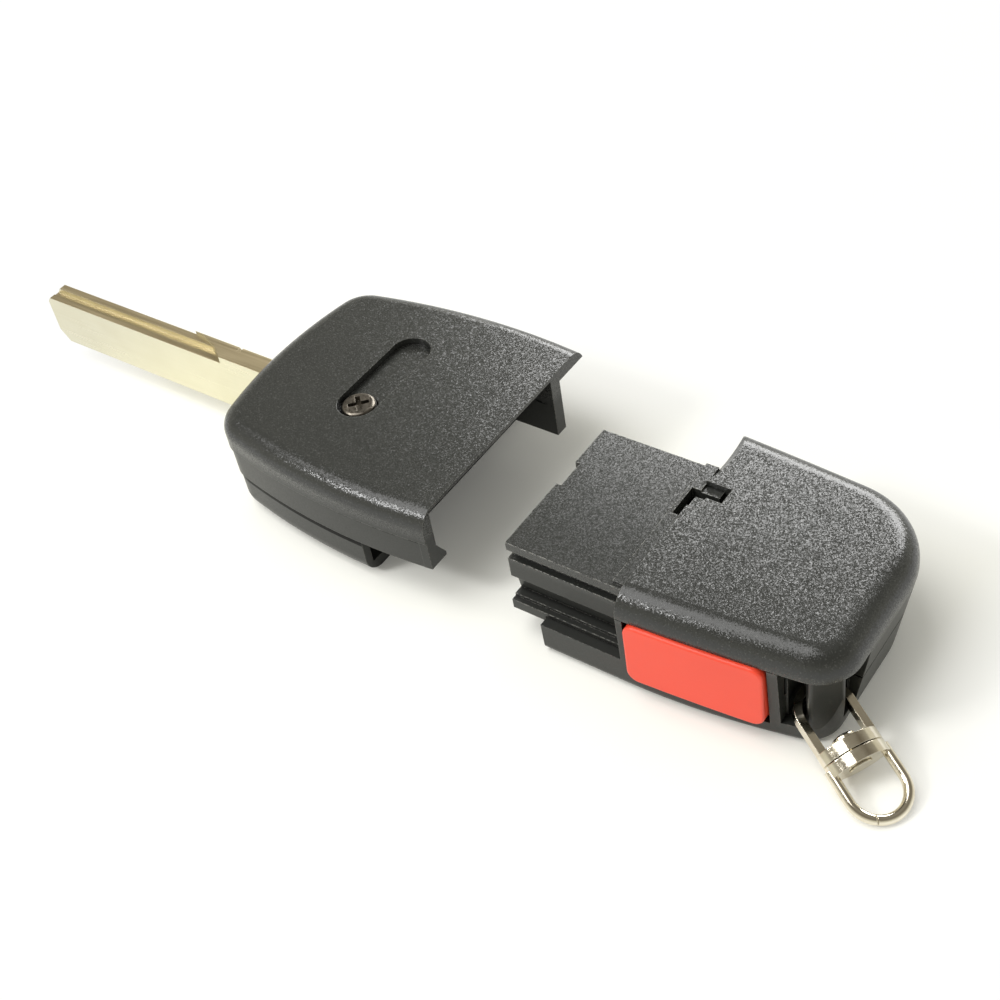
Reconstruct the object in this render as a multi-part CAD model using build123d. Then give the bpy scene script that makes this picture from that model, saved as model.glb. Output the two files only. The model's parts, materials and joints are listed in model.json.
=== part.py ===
"""Flip key with a slide-on remote half, lying on its front face with the two halves drawn apart.

Working frame: X runs from the key blade towards the key ring, with 0 at the head's open edge.
Y runs across the key, with 0 near the middle of its width, and the folded blade's side is positive.
Z runs up from the plane that the key lies on. Everything is moved at the end so that the
origin lies on the head screw's axis, in that plane.
"""
import math
import os

from build123d import *

# Whole key
thickness = 16.5
near_side = -18.7
far_side = 19.3
head_round_back = 2.7
head_round_front = 3.0
remote_round_back = 3.2
remote_round_front = 1.4
beyond = 120.0
running_gap = 0.05
part_gap = 0.3

# Head outline
head_length = 40.6
head_corner_x = 2.2
head_corner_in = 2.6
head_side_bulge = 0.6
head_corner_round = 5.5
seam_z = 6.9
parting_z = 11.7
parting_step = 0.22
seam_gap = 0.35

# Head walls
wall = 1.7
back_plate = 1.9
front_plate = 1.8
edge_plate = 0.5
near_wall_face = -16.85
lip_rise = 0.8
lip_inset = 0.85
lip_gap = 0.1

# Socket for the tongue, in the head
tongue_reach = 17.2
socket_clear = 0.5
channel_wall_inner = 11.3
channel_wall_outer = 13.3
channel_wall_bottom = 6.1
channel_wall_length = 16.4
catch_height = 3.1
catch_depth = 1.5
catch_lip = 0.6
catch_length = 15.5
latch_near = -2.4
latch_far = 2.0
latch_length = 0.85
latch_drop = 0.3
head_front_end = -11.9

# Recess on the back of the head and its screw
recess_width = 6.0
recess_length = 18.0
recess_depth = 1.1
screw_x = -21.5
screw_y = -4.4
screw_head_radius = 2.45
screw_head_height = 1.25
screw_head_sink = 0.35
screw_shank_radius = 1.0
screw_length = 9.5
screw_clear = 0.25
cross_width = 0.7
cross_length = 3.0
cross_depth = 0.7
boss_wall = 1.5

# Blade
blade_y = -1.5
blade_thickness = 3.2
blade_bottom = 3.5
blade_height = 9.7
blade_tip_x = -88.9
blade_shoulder_x = -37.4
blade_milled_end = -59.3
blade_near_drop = 1.2
blade_far_drop = 0.6
blade_groove_width = 0.9
blade_groove_depth = 0.35
blade_tip_bevel = 2.0
blade_tip_side_bevel = 0.6
blade_notch_x = -48.6
blade_notch = 0.5
root_thickness = 1.8
root_inset = 1.2
root_length = 10.6
cutter_radius = 13.6
cutter_reach = 13.55

# Flip hub and its pivot
folded_blade_y = 16.6
pivot_x = -29.25
hub_radius = 6.0
hub_release_clear = 0.8
hub_top = 14.3
hub_bore_top = 12.5
trunnion_radius = 2.5
trunnion_height = 0.8
block_side = 1.25
block_front = 3.5
block_round = 1.6
pin_radius = 0.9
pin_back = 5.2
slot_start = -5.3
slot_rim = 3.0
spring_coil_radius = 2.7
spring_wire = 0.7
spring_turns = 5.5

# Release button, in the front face
release_radius = 5.3
release_inset = 0.3
release_cap = 1.7
release_barrel_radius = 4.1
release_barrel_top = 5.6
release_wall = 0.8
release_travel = 1.4
hub_bottom = release_inset + release_cap + release_travel + hub_release_clear

# Transponder chip
chip_length = 12.0
chip_width = 6.0
chip_height = 3.0
chip_x = -31.0
chip_y = -11.2
chip_rib = 0.9

# Remote half outline
draw_apart = 28.7
remote_end_x = 57.1
remote_far_start = 14.7
remote_far_end = 12.1
remote_near_end = -16.2
remote_near_round = 5.5
remote_far_round = 12.0
remote_near_bulge = 0.3
remote_far_bulge = 0.15
hull_end_inset = 2.3
hull_near_inset = 0.3
hull_near_end_inset = 1.3
hull_near_bulge = 0.6
hull_near_round_less = 1.2
hull_far_inset = 0.3
hull_far_end_inset = 1.0
remote_seam = 7.6
remote_lap_top = 5.1
lap_shelf = 3.6
lap_shelf_thick = 1.2
remote_wall = 1.6
step_scoop_start = 3.2
step_scoop_depth = 1.1

# Tongue and tray
tongue_near = -16.35
tongue_far = 6.7
tongue_top = 15.6
tongue_plate = 1.3
tongue_groove = 1.5
tongue_groove_depth = 1.0
tongue_block_bottom = 8.0
tongue_block_bevel = 1.2
tongue_block_rise = 1.6
tongue_web_bottom = 6.1
rail_near = -17.0
rail_bottom = 4.2
rail_top = 5.7
rail_step = 0.8
ledge_width = 1.8
ledge_rise = 0.3
notch_depth = 0.7
notch_y = -2.4
notch_width = 4.4
latch_slit_length = 1.25
tray_wall = 1.4
latch_hole_length = 3.7
latch_hole_near = 0.9
latch_hole_far = 3.6
latch_recess_near = -1.2
latch_recess_length = 1.5
latch_recess_depth = 0.45
tray_shelf_z = 8.4
tray_shelf = 1.1

# Panic button on the near side
panic_start = 29.8
panic_end = 47.9
panic_bottom = 2.8
panic_top = 12.8
panic_corner = 1.6
panic_proud = 0.55
panic_flange = 0.4
panic_flange_thick = 0.8
panic_boss_radius = 1.3
panic_travel = 0.6
panic_room = 2.2
frame_end = 49.4

# Buttons on the front face
key_button_width = 6.0
key_button_length = 11.0
key_button_pitch = 7.6
key_button_first_x = 34.0
key_button_y = 0.0
key_button_inset = 0.35
key_button_flange = 0.6
key_button_travel = 0.5
button_gap = 0.2

# Board, switches and cell
board_bottom = 4.6
board_thick = 1.0
board_clear = 0.5
seat_radius = 1.2
stud_radius = 1.3
rib_places = (-10.0, 0.0, 6.0)
rib_width = 1.0
switch_size = 4.2
switch_body = 0.9
switch_plunger = 1.0
switch_plunger_height = 0.25
switch_plunger_reach = 0.5
side_switch_depth = 2.4
side_switch_height = 2.5
cell_radius = 10.0
cell_height = 3.2
cell_x = 42.6
cell_y = -0.6
contact_thick = 0.25
contact_width = 3.0
contact_minus_start = -7.0
contact_minus_end = 7.0
contact_leg_gap = 0.15
cell_rim = 1.1
cell_rim_share = 0.8
cell_round = 0.3
cell_lid_step = 0.9
cell_lid_height = 0.3

# Key ring swivel
post_radius = 3.65
post_angle = -54.0
post_width = 4.3
post_depth = 2.2
window_end_y = -9.0
window_rim = 3.2
window_top = 12.9
pocket_radius = 4.3
pocket_wall = 0.7
ring_direction = -29.0
ring_start_z = 5.0
shackle_inner = 5.6
strap = 1.0
strap_height = 1.4
shackle_reach = 4.3
plate_width = 8.4
plate_height = 5.2
plate_thick = 1.5
plate_gap = 0.15
rivet_radius = 1.1
rivet_head_radius = 1.5
rivet_head = 0.8
rivet_tail = 0.15
loop_width = 8.6
loop_wire = 1.3
loop_length = 14.25
loop_floor_gap = 0.02
loop_split = 0.15
loop_split_angle = -35.0

# Worked out from the sizes above
pivot_y = (blade_y + folded_blade_y) / 2
blade_top = blade_bottom + blade_height
blade_near = blade_y - blade_thickness / 2
blade_far = blade_y + blade_thickness / 2
plate_under = thickness - back_plate
socket_roof = thickness - edge_plate
block_near = blade_near - block_side
remote_front_start = draw_apart + head_front_end
hub_bore_radius = release_barrel_radius + running_gap
post_x = remote_end_x - remote_near_round + post_radius * math.cos(math.radians(post_angle))
post_y = remote_near_end + remote_near_round + post_radius * math.sin(math.radians(post_angle))
ring_tilt = math.degrees(math.asin((ring_start_z - loop_wire / 2 - loop_floor_gap) / loop_length))
swivel_frame = Plane(origin=(post_x, post_y, ring_start_z),
                     x_dir=(math.cos(math.radians(ring_direction)) * math.cos(math.radians(ring_tilt)),
                            math.sin(math.radians(ring_direction)) * math.cos(math.radians(ring_tilt)),
                            -math.sin(math.radians(ring_tilt))),
                     z_dir=(math.cos(math.radians(ring_direction)) * math.sin(math.radians(ring_tilt)),
                            math.sin(math.radians(ring_direction)) * math.sin(math.radians(ring_tilt)),
                            math.cos(math.radians(ring_tilt))))
board_near = near_side + 5.5
panic_switch_z = board_bottom + board_thick + 1.25
contact_plus_y = cell_y + cell_radius + cell_rim + contact_leg_gap


def box(x0, x1, y0, y1, z0, z1):
    """A box from its two corners."""
    return Pos((x0 + x1) / 2, (y0 + y1) / 2, (z0 + z1) / 2) * Box(x1 - x0, y1 - y0, z1 - z0)


def rod(radius, x, y, z0, z1):
    """An upright cylinder."""
    return Pos(x, y, (z0 + z1) / 2) * Cylinder(radius, z1 - z0)


def prism(face, z0, z1):
    """A plan outline raised between two heights."""
    return Pos(0, 0, z0) * extrude(face, z1 - z0, dir=(0, 0, 1))


def profile_along_x(points, x0, x1):
    """A closed outline of (y, z) points, swept along X."""
    outline = Polyline([(x0, y, z) for y, z in points], close=True)
    return extrude(make_face(outline), x1 - x0, dir=(1, 0, 0))


def head_outline(inset):
    """The head in plan, drawn in by an inset: bowed sides and left end, straight open edge."""
    middle = (near_side + far_side) / 2
    half = (far_side - near_side) / 2
    corner_x = -head_length + head_corner_x
    corner_half = half - head_corner_in
    bulge_x = corner_x * 0.42
    near = ThreePointArc((0, near_side), (bulge_x, near_side - head_side_bulge),
                         (corner_x, middle - corner_half))
    end = ThreePointArc((corner_x, middle - corner_half), (-head_length, middle),
                        (corner_x, middle + corner_half))
    far = ThreePointArc((corner_x, middle + corner_half), (bulge_x, far_side + head_side_bulge),
                        (0, far_side))
    edge = Line((0, far_side), (0, near_side))
    face = make_face(Curve() + [near, end, far, edge])
    if inset > 0:
        face = offset(face, -inset, kind=Kind.INTERSECTION)
    corners = [v for v in face.vertices() if v.X < corner_x + inset + 1]
    return fillet(corners, head_corner_round - inset)


def remote_outline(start, level):
    """The remote half in plan at a level of its drafted walls: 1 at the windows' top, 0 at the bottom."""
    low = 1 - level
    end = remote_end_x - hull_end_inset * low
    near_start = near_side + hull_near_inset * low
    near_end = remote_near_end + hull_near_end_inset * low
    far_start = remote_far_start - hull_far_inset * low
    far_end = remote_far_end - hull_far_end_inset * low
    near_bulge = remote_near_bulge + hull_near_bulge * low
    middle_x = (draw_apart + end) / 2
    near = ThreePointArc((draw_apart, near_start), (middle_x, (near_start + near_end) / 2 - near_bulge),
                         (end, near_end))
    right = Line((end, near_end), (end, far_end))
    far = ThreePointArc((end, far_end), (middle_x, (far_end + far_start) / 2 + remote_far_bulge),
                        (draw_apart, far_start))
    edges = [near, right, far]
    if start < draw_apart:
        edges += [Line((draw_apart, far_start), (start, far_start)),
                  Line((start, far_start), (start, near_start)),
                  Line((start, near_start), (draw_apart, near_start))]
    else:
        edges += [Line((draw_apart, far_start), (draw_apart, near_start))]
    face = make_face(Curve() + edges)
    near_corner = [v for v in face.vertices() if v.X > end - 1 and v.Y < 0]
    face = fillet(near_corner, remote_near_round - hull_near_round_less * low)
    far_corner = [v for v in face.vertices() if v.X > end - 1 and v.Y > far_end - 1]
    return fillet(far_corner, remote_far_round)


def remote_hull(start):
    """The remote half's outer form: walls drafted up to the windows' top, and upright above."""
    low = remote_outline(start, 0)
    high = remote_outline(start, 1)
    return loft([low, Pos(0, 0, window_top) * high], ruled=True) + prism(high, window_top, thickness)


def rounded_body(body, open_x, height, radius):
    """A body whose edges at one height are rounded, apart from the one at its open end."""
    ring = [e for e in body.edges()
            if abs(e.center().Z - height) < 0.01 and abs(e.center().X - open_x) > 0.01]
    return fillet(ring, radius)


def inside(face, gap, z0, z1):
    """The space inside an outline, a wall's thickness in from it."""
    inner = head_outline(gap) if face is HEAD else offset(face, -gap, kind=Kind.INTERSECTION)
    return prism(inner, z0, z1)


HEAD = head_outline(0)
LOWER_HEAD = head_outline(2 * parting_step)
REMOTE_BACK = remote_outline(draw_apart, 1)
REMOTE_BACK_LONG = remote_outline(draw_apart - 6, 1)
REMOTE_SEAM = remote_outline(draw_apart, remote_seam / window_top)
REMOTE_FRONT = remote_outline(remote_front_start, 0)


def head_lip(grow):
    """Inner lip at the head's seam, or its rebate when grown by a gap."""
    low = seam_z - seam_gap - 0.6
    band = inside(HEAD, lip_inset - grow, low, seam_z + lip_rise + grow)
    band -= inside(HEAD, wall + grow, 0, thickness)
    return band & box(-beyond, head_front_end, -beyond, slot_start - 0.2 + grow, 0, thickness)


def remote_lip(grow):
    """Inner lip at the remote half's seam, or its rebate when grown by a gap."""
    low = remote_seam - part_gap - 0.6
    band = inside(REMOTE_SEAM, lip_inset - grow, low, remote_seam + lip_rise + grow)
    band -= inside(REMOTE_SEAM, remote_wall + grow, 0, thickness)
    return band & box(draw_apart + 2, beyond, window_end_y + 0.3 - grow, beyond, 0, thickness)


def head_slot(z0, z1):
    """The opening round the head's end and far side through which the blade swings."""
    margin = 5
    ends = box(-head_length - margin, pivot_x, slot_start, far_side + margin, z0, z1)
    side = box(pivot_x - 1, margin, channel_wall_outer, far_side + margin, z0, z1)
    return ends + side


def head_back_shell():
    """Upper moulding of the head: plate, near wall, blade lip, socket walls, latch and screw seat."""
    shell = rounded_body(prism(HEAD, 0, thickness), 0, thickness, head_round_back)
    shell = shell & box(-beyond, 0, -beyond, beyond, parting_z, thickness)
    shell += inside(HEAD, parting_step, seam_z, parting_z)
    shell += inside(HEAD, parting_step, seam_z, parting_z).moved(Pos(parting_step, 0, 0)) & box(
        -parting_step - 1, 0, -beyond, beyond, 0, thickness)
    shell -= inside(HEAD, wall, seam_z, plate_under) & box(-beyond, -wall, -beyond, beyond, 0, thickness)
    shell -= box(-3 * wall, 1, near_wall_face, channel_wall_outer, 0, plate_under)
    shell -= head_slot(0, plate_under)
    shell -= head_lip(lip_gap)
    shell -= box(-beyond, 1, channel_wall_outer, far_side + 5, 0, plate_under)
    socket_end = -tongue_reach - socket_clear
    shell -= box(socket_end, 1, near_wall_face, channel_wall_inner, 0, socket_roof)
    shell += box(-channel_wall_length, 0, channel_wall_inner, channel_wall_outer,
                 channel_wall_bottom, plate_under + 0.1)
    shell -= profile_along_x([(channel_wall_outer + 1, channel_wall_bottom + 0.8),
                              (channel_wall_inner + 0.8, channel_wall_bottom - 1),
                              (channel_wall_outer + 1, channel_wall_bottom - 1)],
                             -channel_wall_length, 0)
    inner_y = near_wall_face + catch_depth
    catch = profile_along_x([(near_wall_face - 0.2, seam_z + catch_height),
                             (near_wall_face, seam_z + catch_height),
                             (inner_y, seam_z + catch_lip),
                             (inner_y, seam_z),
                             (near_wall_face - 0.2, seam_z)], -catch_length, 0)
    shell += catch
    shell += box(-latch_length - 0.2, -0.2, latch_near, latch_far,
                 socket_roof - latch_drop, socket_roof + 0.1)
    shell += rod(screw_shank_radius + boss_wall, screw_x, screw_y, seam_z + 1.3, plate_under + 0.1)
    recess_y = screw_y - recess_width / 2 + recess_length / 2
    slot = Pos(screw_x, recess_y) * Rot(0, 0, 90) * SlotOverall(recess_length, recess_width)
    shell -= prism(slot, thickness - recess_depth, thickness + 1)
    seat = thickness - recess_depth - screw_head_sink
    shell -= rod(screw_head_radius + screw_clear, screw_x, screw_y, seat, thickness)
    shell -= rod(screw_shank_radius + screw_clear, screw_x, screw_y, 0, thickness)
    shell -= rod(trunnion_radius + running_gap, pivot_x, pivot_y, 0, hub_top + trunnion_height + 0.1)
    return shell


def head_front_shell():
    """Lower moulding of the head, with the release button's hole, screw boss and chip cradle."""
    outer = rounded_body(prism(LOWER_HEAD, 0, thickness), -2 * parting_step, 0, head_round_front)
    shell = outer & box(-beyond, head_front_end, -beyond, beyond, 0, seam_z - seam_gap)
    shell -= inside(HEAD, wall, front_plate, thickness)
    shell -= box(head_front_end - 2 * wall, 0, near_side + wall + 0.4, far_side - wall, front_plate, thickness)
    shell -= head_slot(slot_rim, thickness)
    shell += head_lip(0)
    guide = rod(release_radius + button_gap + 1.1, pivot_x, pivot_y, 0, slot_rim)
    shell += guide & outer
    shell -= rod(release_radius + button_gap, pivot_x, pivot_y, -1, thickness)
    shell += rod(screw_shank_radius + boss_wall, screw_x, screw_y, 0, seam_z + 1.3)
    shell -= rod(screw_shank_radius, screw_x, screw_y, front_plate, thickness)
    cradle = box(chip_x - chip_length / 2 - chip_rib, chip_x + chip_length / 2 + chip_rib,
                 chip_y - chip_width / 2 - chip_rib, chip_y + chip_width / 2 + chip_rib,
                 0, front_plate + chip_height * 0.6)
    cradle = cradle & inside(HEAD, 0.5, 0, thickness)
    shell += cradle & box(-beyond, 0, -beyond, beyond, front_plate - 0.5, thickness)
    shell -= box(chip_x - chip_length / 2 - 0.1, chip_x + chip_length / 2 + 0.1,
                 chip_y - chip_width / 2 - 0.1, chip_y + chip_width / 2 + 0.1, front_plate, thickness)
    return shell


def head_screw():
    """Pan-head screw with a cross recess that clamps the two head mouldings."""
    seat = thickness - recess_depth - screw_head_sink
    crown = seat + screw_head_height
    head = rod(screw_head_radius, screw_x, screw_y, seat, crown)
    head = fillet(head.edges().filter_by(GeomType.CIRCLE).sort_by(Axis.Z)[-1], 0.5)
    shank = rod(screw_shank_radius, screw_x, screw_y, seat - screw_length, seat)
    for turn in (0, 90):
        arm = Rot(0, 0, 45 + turn) * Box(cross_length, cross_width, 2 * cross_depth)
        head -= Pos(screw_x, screw_y, crown) * arm
    return head + shank


def transponder_chip():
    """Wedge-shaped immobiliser chip in its cradle."""
    chip = Pos(chip_x, chip_y, front_plate + chip_height / 2) * Box(chip_length, chip_width, chip_height)
    return chamfer(chip.edges().filter_by(Axis.Y).sort_by(Axis.Z)[-2:], 1.0)


def milled_step(y0, y1, drop):
    """Material that the side cutter takes off the blade's top, with the round run-out at its end."""
    z0 = blade_top - drop
    cut = box(blade_tip_x - 1, blade_milled_end, blade_near - cutter_reach, blade_far + 1, z0, blade_top + 1)
    cut += rod(cutter_radius, blade_milled_end, blade_far - cutter_reach, z0, blade_top + 1)
    return cut & box(blade_tip_x - 1, blade_shoulder_x, y0, y1, z0, blade_top + 1)


def key_blade():
    """Uncut key blade on edge: milled top, groove with its cutter run-out, bevelled tip, root."""
    blade = box(blade_tip_x, blade_shoulder_x, blade_near, blade_far, blade_bottom, blade_top)
    tip_edges = [e for e in blade.edges().filter_by(Axis.Y) if e.center().X < blade_tip_x + 0.1]
    blade = chamfer(tip_edges, blade_tip_bevel, blade_tip_bevel * 0.8)
    side_edges = [e for e in blade.edges().filter_by(Axis.Z)
                  if e.center().X < blade_tip_x + 0.1 and e.center().Y > blade_y]
    blade = chamfer(side_edges, blade_tip_side_bevel, blade_tip_side_bevel * 0.8)
    groove_near = blade_y - blade_groove_width / 2
    groove_far = blade_y + blade_groove_width / 2
    blade -= milled_step(blade_near - 1, blade_far + 1, blade_far_drop)
    blade -= milled_step(blade_near - 1, groove_near, blade_near_drop)
    blade -= milled_step(groove_near - 0.1, groove_far, blade_near_drop + blade_groove_depth)
    notch = Pos(blade_notch_x, blade_far, blade_top) * Rot(0, 45, 0)
    blade -= notch * Box(blade_notch, 1.6, blade_notch)
    root = box(blade_shoulder_x - 0.1, blade_shoulder_x + root_length, blade_y - root_thickness / 2,
               blade_y + root_thickness / 2, blade_bottom + root_inset, blade_top - root_inset)
    blade += root
    pin_x = blade_shoulder_x + pin_back
    pin_z = (blade_bottom + blade_top) / 2
    hole = Pos(pin_x, blade_y, pin_z) * Rot(90, 0, 0) * Cylinder(pin_radius + 0.02, 6)
    return blade - hole


def blade_hub():
    """Cast hub that turns about the pivot and holds the blade's root in a pinned socket."""
    hub = rod(hub_radius, pivot_x, pivot_y, hub_bottom, hub_top)
    top_edge = hub.edges().filter_by(GeomType.CIRCLE).sort_by(Axis.Z)[-1]
    hub = fillet(top_edge, 0.6)
    hub += rod(trunnion_radius, pivot_x, pivot_y, hub_top - 0.5, hub_top + trunnion_height)
    block_z0 = blade_bottom - 0.2
    block_z1 = blade_top + 0.2
    block = box(blade_shoulder_x, pivot_x + block_front, block_near, pivot_y - 1.0, block_z0, block_z1)
    block = fillet(block.edges().filter_by(Axis.Z).sort_by(Axis.Y)[:2], block_round)
    hub += block
    hub -= rod(hub_bore_radius, pivot_x, pivot_y, 0, hub_bore_top)
    hub -= rod(hub_radius + 0.3, pivot_x, pivot_y, 0, hub_bottom)
    socket = box(blade_shoulder_x - 1, blade_shoulder_x + root_length + 0.1,
                 blade_y - root_thickness / 2 - 0.02, blade_y + root_thickness / 2 + 0.02,
                 blade_bottom + root_inset - 0.02, blade_top - root_inset + 0.02)
    hub -= socket
    pin_x = blade_shoulder_x + pin_back
    pin_z = (blade_bottom + blade_top) / 2
    hub -= Pos(pin_x, blade_y, pin_z) * Rot(90, 0, 0) * Cylinder(pin_radius + 0.02, 8)
    return hub


def blade_pin():
    """Roll pin across the blade's root."""
    pin_x = blade_shoulder_x + pin_back
    pin_z = (blade_bottom + blade_top) / 2
    near = block_near + 0.1
    far = blade_far + block_side + 0.4
    pin = Pos(pin_x, (near + far) / 2, pin_z) * Rot(90, 0, 0) * Cylinder(pin_radius, far - near)
    slit = Pos(pin_x, (near + far) / 2, pin_z + pin_radius) * Box(0.25, far - near + 1, 1.2)
    bore = Pos(pin_x, (near + far) / 2, pin_z) * Rot(90, 0, 0) * Cylinder(pin_radius * 0.5, far - near + 1)
    return pin - bore - slit


def flip_spring():
    """Coil spring between the release button and the hub."""
    low = release_inset + release_cap + spring_wire / 2
    high = hub_bore_top - spring_wire / 2
    pitch = (high - low) / spring_turns
    path = Helix(pitch, high - low, spring_coil_radius)
    start = path @ 0
    wire = Plane(origin=start, z_dir=path % 0) * Circle(spring_wire / 2)
    return Pos(pivot_x, pivot_y, low) * sweep(wire, path, is_frenet=True)


def release_button():
    """Round button in the front face, guided inside the hub's bore."""
    low = release_inset
    cap = rod(release_radius, pivot_x, pivot_y, low, low + release_cap)
    rim = cap.edges().filter_by(GeomType.CIRCLE).sort_by(Axis.Z)[0]
    cap = fillet(rim, 0.6)
    barrel = rod(release_barrel_radius, pivot_x, pivot_y, low + release_cap - 0.2, release_barrel_top)
    barrel -= rod(release_barrel_radius - release_wall, pivot_x, pivot_y,
                  low + release_cap, release_barrel_top + 1)
    dish = Pos(pivot_x, pivot_y, low - 11.6) * Sphere(12.0)
    return (cap - dish) + barrel


def remote_back_shell():
    """Upper moulding of the remote half, over the side button and the key ring windows."""
    body = rounded_body(remote_hull(draw_apart), draw_apart, thickness, remote_round_back)
    shell = body & box(draw_apart, beyond, -beyond, beyond, remote_seam, thickness)
    shell -= inside(REMOTE_SEAM, remote_wall, 0, thickness - remote_wall)
    open_side = box(draw_apart - 1, frame_end + 1, -beyond, near_side + 6, 0, window_top)
    open_corner = box(frame_end, beyond, -beyond, window_end_y, 0, window_top)
    shell -= open_side + open_corner
    shell -= box(draw_apart - 1, draw_apart + remote_wall + 1, tongue_near - 0.1, tongue_far + 0.1,
                 0, tongue_top + 0.05)
    shell -= box(draw_apart - 1, draw_apart + latch_hole_length, latch_hole_near, latch_hole_far,
                 tongue_top - 1, thickness + 1)
    shell -= box(draw_apart - 1, draw_apart + latch_recess_length, latch_recess_near, latch_hole_near + 0.1,
                 thickness - latch_recess_depth, thickness + 1)
    shell -= remote_lip(lip_gap)
    far = remote_far_start
    middle = (far + step_scoop_start) / 2
    arc = ThreePointArc((draw_apart, step_scoop_start), (draw_apart + step_scoop_depth, middle),
                        (draw_apart, far))
    lens = make_face(Curve() + [arc, Line((draw_apart, far), (draw_apart, step_scoop_start))])
    lens = Pos(0, 0, thickness) * lens
    shell -= extrude(lens, 3, dir=(-1, 0, -1))
    return shell


def remote_front_shell():
    """Lower moulding of the remote half: button holes, side frame, key ring post and windows."""
    body = rounded_body(remote_hull(remote_front_start), remote_front_start, 0, remote_round_front)
    shell = body & box(remote_front_start, beyond, -beyond, beyond, 0, remote_seam - part_gap)
    frame = body & box(draw_apart, frame_end, -beyond, near_side + 4, 0, window_top - 0.1)
    shell += frame & prism(REMOTE_BACK, 0, thickness)
    shell -= inside(REMOTE_FRONT, remote_wall, front_plate, remote_seam)
    shell -= inside(REMOTE_BACK_LONG, remote_wall, remote_seam - part_gap, thickness)
    shell -= panic_band(-remote_wall, -remote_wall - panic_room) & box(
        panic_start - panic_flange - part_gap, panic_end + panic_flange + part_gap, -beyond, 0,
        front_plate, thickness)
    shell -= box(remote_front_start - 1, remote_front_start + 2 * remote_wall, near_side + remote_wall,
                 remote_far_start - remote_wall, front_plate, thickness)
    shell -= box(remote_front_start - 1, draw_apart, -beyond, beyond, remote_lap_top, thickness)
    shell += box(remote_front_start, draw_apart + 0.5, near_side + 0.5, near_side + lap_shelf,
                 remote_lap_top - lap_shelf_thick, remote_lap_top)
    shell -= side_plate(panic_start - button_gap, panic_end + button_gap, panic_bottom - button_gap,
                        thickness, 0.1)
    shell -= box(frame_end, beyond, -beyond, window_end_y, window_rim, thickness)
    for x in key_button_places():
        shell -= prism(key_button_face(x, button_gap), -1, thickness)
    shell += remote_lip(0)
    shell += ring_post() & body
    shell += ring_pocket()
    for x, y in board_seats():
        shell += rod(seat_radius, x, y, front_plate - 0.2, board_bottom)
    for y in rib_places:
        shell += box(remote_front_start + 1.0, draw_apart - 1.0, y - rib_width / 2, y + rib_width / 2,
                     front_plate - 0.2, rail_bottom)
    return shell


def side_plate(x0, x1, z0, z1, corner):
    """A rounded rectangle seen from the near side, driven through the near wall."""
    face = Plane.XZ * Pos((x0 + x1) / 2, (z0 + z1) / 2) * RectangleRounded(x1 - x0, z1 - z0, corner)
    return extrude(face, -near_side + 5) - box(-beyond, beyond, near_side + 6, beyond, -beyond, beyond)


def key_button_places():
    return [key_button_first_x + key_button_pitch * i for i in range(3)]


def key_button_face(x, grow):
    """Plan shape of one front button."""
    return Pos(x, key_button_y) * Rot(0, 0, 90) * SlotOverall(key_button_length + 2 * grow,
                                                            key_button_width + 2 * grow)


def ring_post():
    """Upright post at the corner that the key ring shackle hangs on."""
    post = Box(post_depth, post_width, window_top - 0.1 - front_plate + 0.2)
    post = fillet(post.edges().filter_by(Axis.Z), 0.6)
    z = (window_top - 0.1 + front_plate - 0.2) / 2
    return Pos(post_x, post_y, z) * Rot(0, 0, post_angle) * post


def ring_pocket():
    """Curved wall that closes the pocket behind the post from the inside of the remote half."""
    high = window_top - 0.1
    ring = rod(pocket_radius + pocket_wall, post_x, post_y, front_plate - 0.2, high)
    ring -= rod(pocket_radius, post_x, post_y, 0, thickness)
    return ring & inside(REMOTE_SEAM, remote_wall + 0.1, 0, thickness)


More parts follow.
